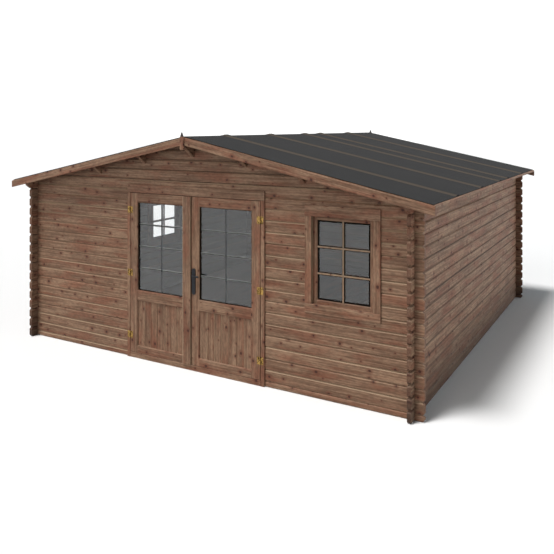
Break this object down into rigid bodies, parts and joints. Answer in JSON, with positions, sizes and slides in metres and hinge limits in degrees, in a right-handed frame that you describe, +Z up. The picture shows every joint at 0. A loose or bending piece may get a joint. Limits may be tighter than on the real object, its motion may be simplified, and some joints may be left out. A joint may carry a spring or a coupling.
{
  "type": "log cabin",
  "caption": "Garden log cabin of notched interlocking logs with a low felted apex roof, half-glazed outward-opening double doors and small-paned fixed windows.",
  "frame": {"origin": "on the ground under the middle of the plan, doors shut", "axes": "+X to the right along the door front, +Y from the front to the rear, +Z up"},
  "size_m": [5.33, 5.238, 2.5282],
  "materials": {
    "log_timber": "treated softwood, planed, matt",
    "roof_timber": "treated softwood boards, matt",
    "frame_timber": "treated softwood, planed, matt",
    "door_timber": "treated softwood, planed, matt",
    "floor_timber": "softwood boards, matt",
    "felt": "mineral roofing felt, matt",
    "felt_lap": "mineral roofing felt, matt",
    "hinge_brass": "yellow brass, satin",
    "handle_metal": "black, satin",
    "glass": "clear flat glass"
  },
  "bodies": {
    "cabin": {"left_wall": "log_timber", "right_wall": "log_timber", "rear_wall": "log_timber", "rear_gable": "log_timber", "front_wall_left": "log_timber", "front_wall_right": "log_timber", "front_gable": "log_timber", "ridge_purlin": "roof_timber", "side_purlins": "roof_timber", "roof_deck_left": "roof_timber", "roof_deck_right": "roof_timber", "roof_felt_left": "felt", "roof_felt_right": "felt", "felt_laps_left": "felt_lap", "felt_laps_right": "felt_lap", "front_barge_boards": "roof_timber", "rear_barge_boards": "roof_timber", "eave_fascias": "roof_timber", "finials": "roof_timber", "floor_boards": "floor_timber", "floor_bearers": "floor_timber", "door_frame": "frame_timber", "door_sill": "frame_timber", "door_stops": "frame_timber", "front_window_frame": "frame_timber", "front_window_casement": "frame_timber", "front_window_glass": "glass", "left_window_frame": "frame_timber", "left_window_casement": "frame_timber", "left_window_glass": "glass", "left_door_frame_hinges": "hinge_brass", "right_door_frame_hinges": "hinge_brass"},
    "left_door": {"left_door_frame": "door_timber", "left_door_panel": "door_timber", "left_door_glass": "glass", "left_door_leaf_hinges": "hinge_brass", "meeting_strip": "door_timber"},
    "right_door": {"right_door_frame": "door_timber", "right_door_panel": "door_timber", "right_door_glass": "glass", "right_door_leaf_hinges": "hinge_brass", "outside_handle": "handle_metal", "inside_handle_plate": "handle_metal"},
    "door_lever": {"inside_lever": "handle_metal", "outside_lever": "handle_metal"}
  },
  "joints": [
    {"name": "left_door_hinge", "type": "hinge", "parent": "cabin", "child": "left_door", "pos_m": [-0.8545, -2.455, 0.95], "axis": [0, 0, -1], "range_deg": [0, 110]},
    {"name": "right_door_hinge", "type": "hinge", "parent": "cabin", "child": "right_door", "pos_m": [0.8545, -2.455, 0.95], "axis": [0, 0, 1], "range_deg": [0, 110]},
    {"name": "lever_turn", "type": "hinge", "parent": "right_door", "child": "door_lever", "pos_m": [0.0335, -2.396, 1.01], "axis": [0, 1, 0], "range_deg": [0, 40], "stiffness_Nm_per_rad": 1, "springref_deg": -20.05}
  ]
}
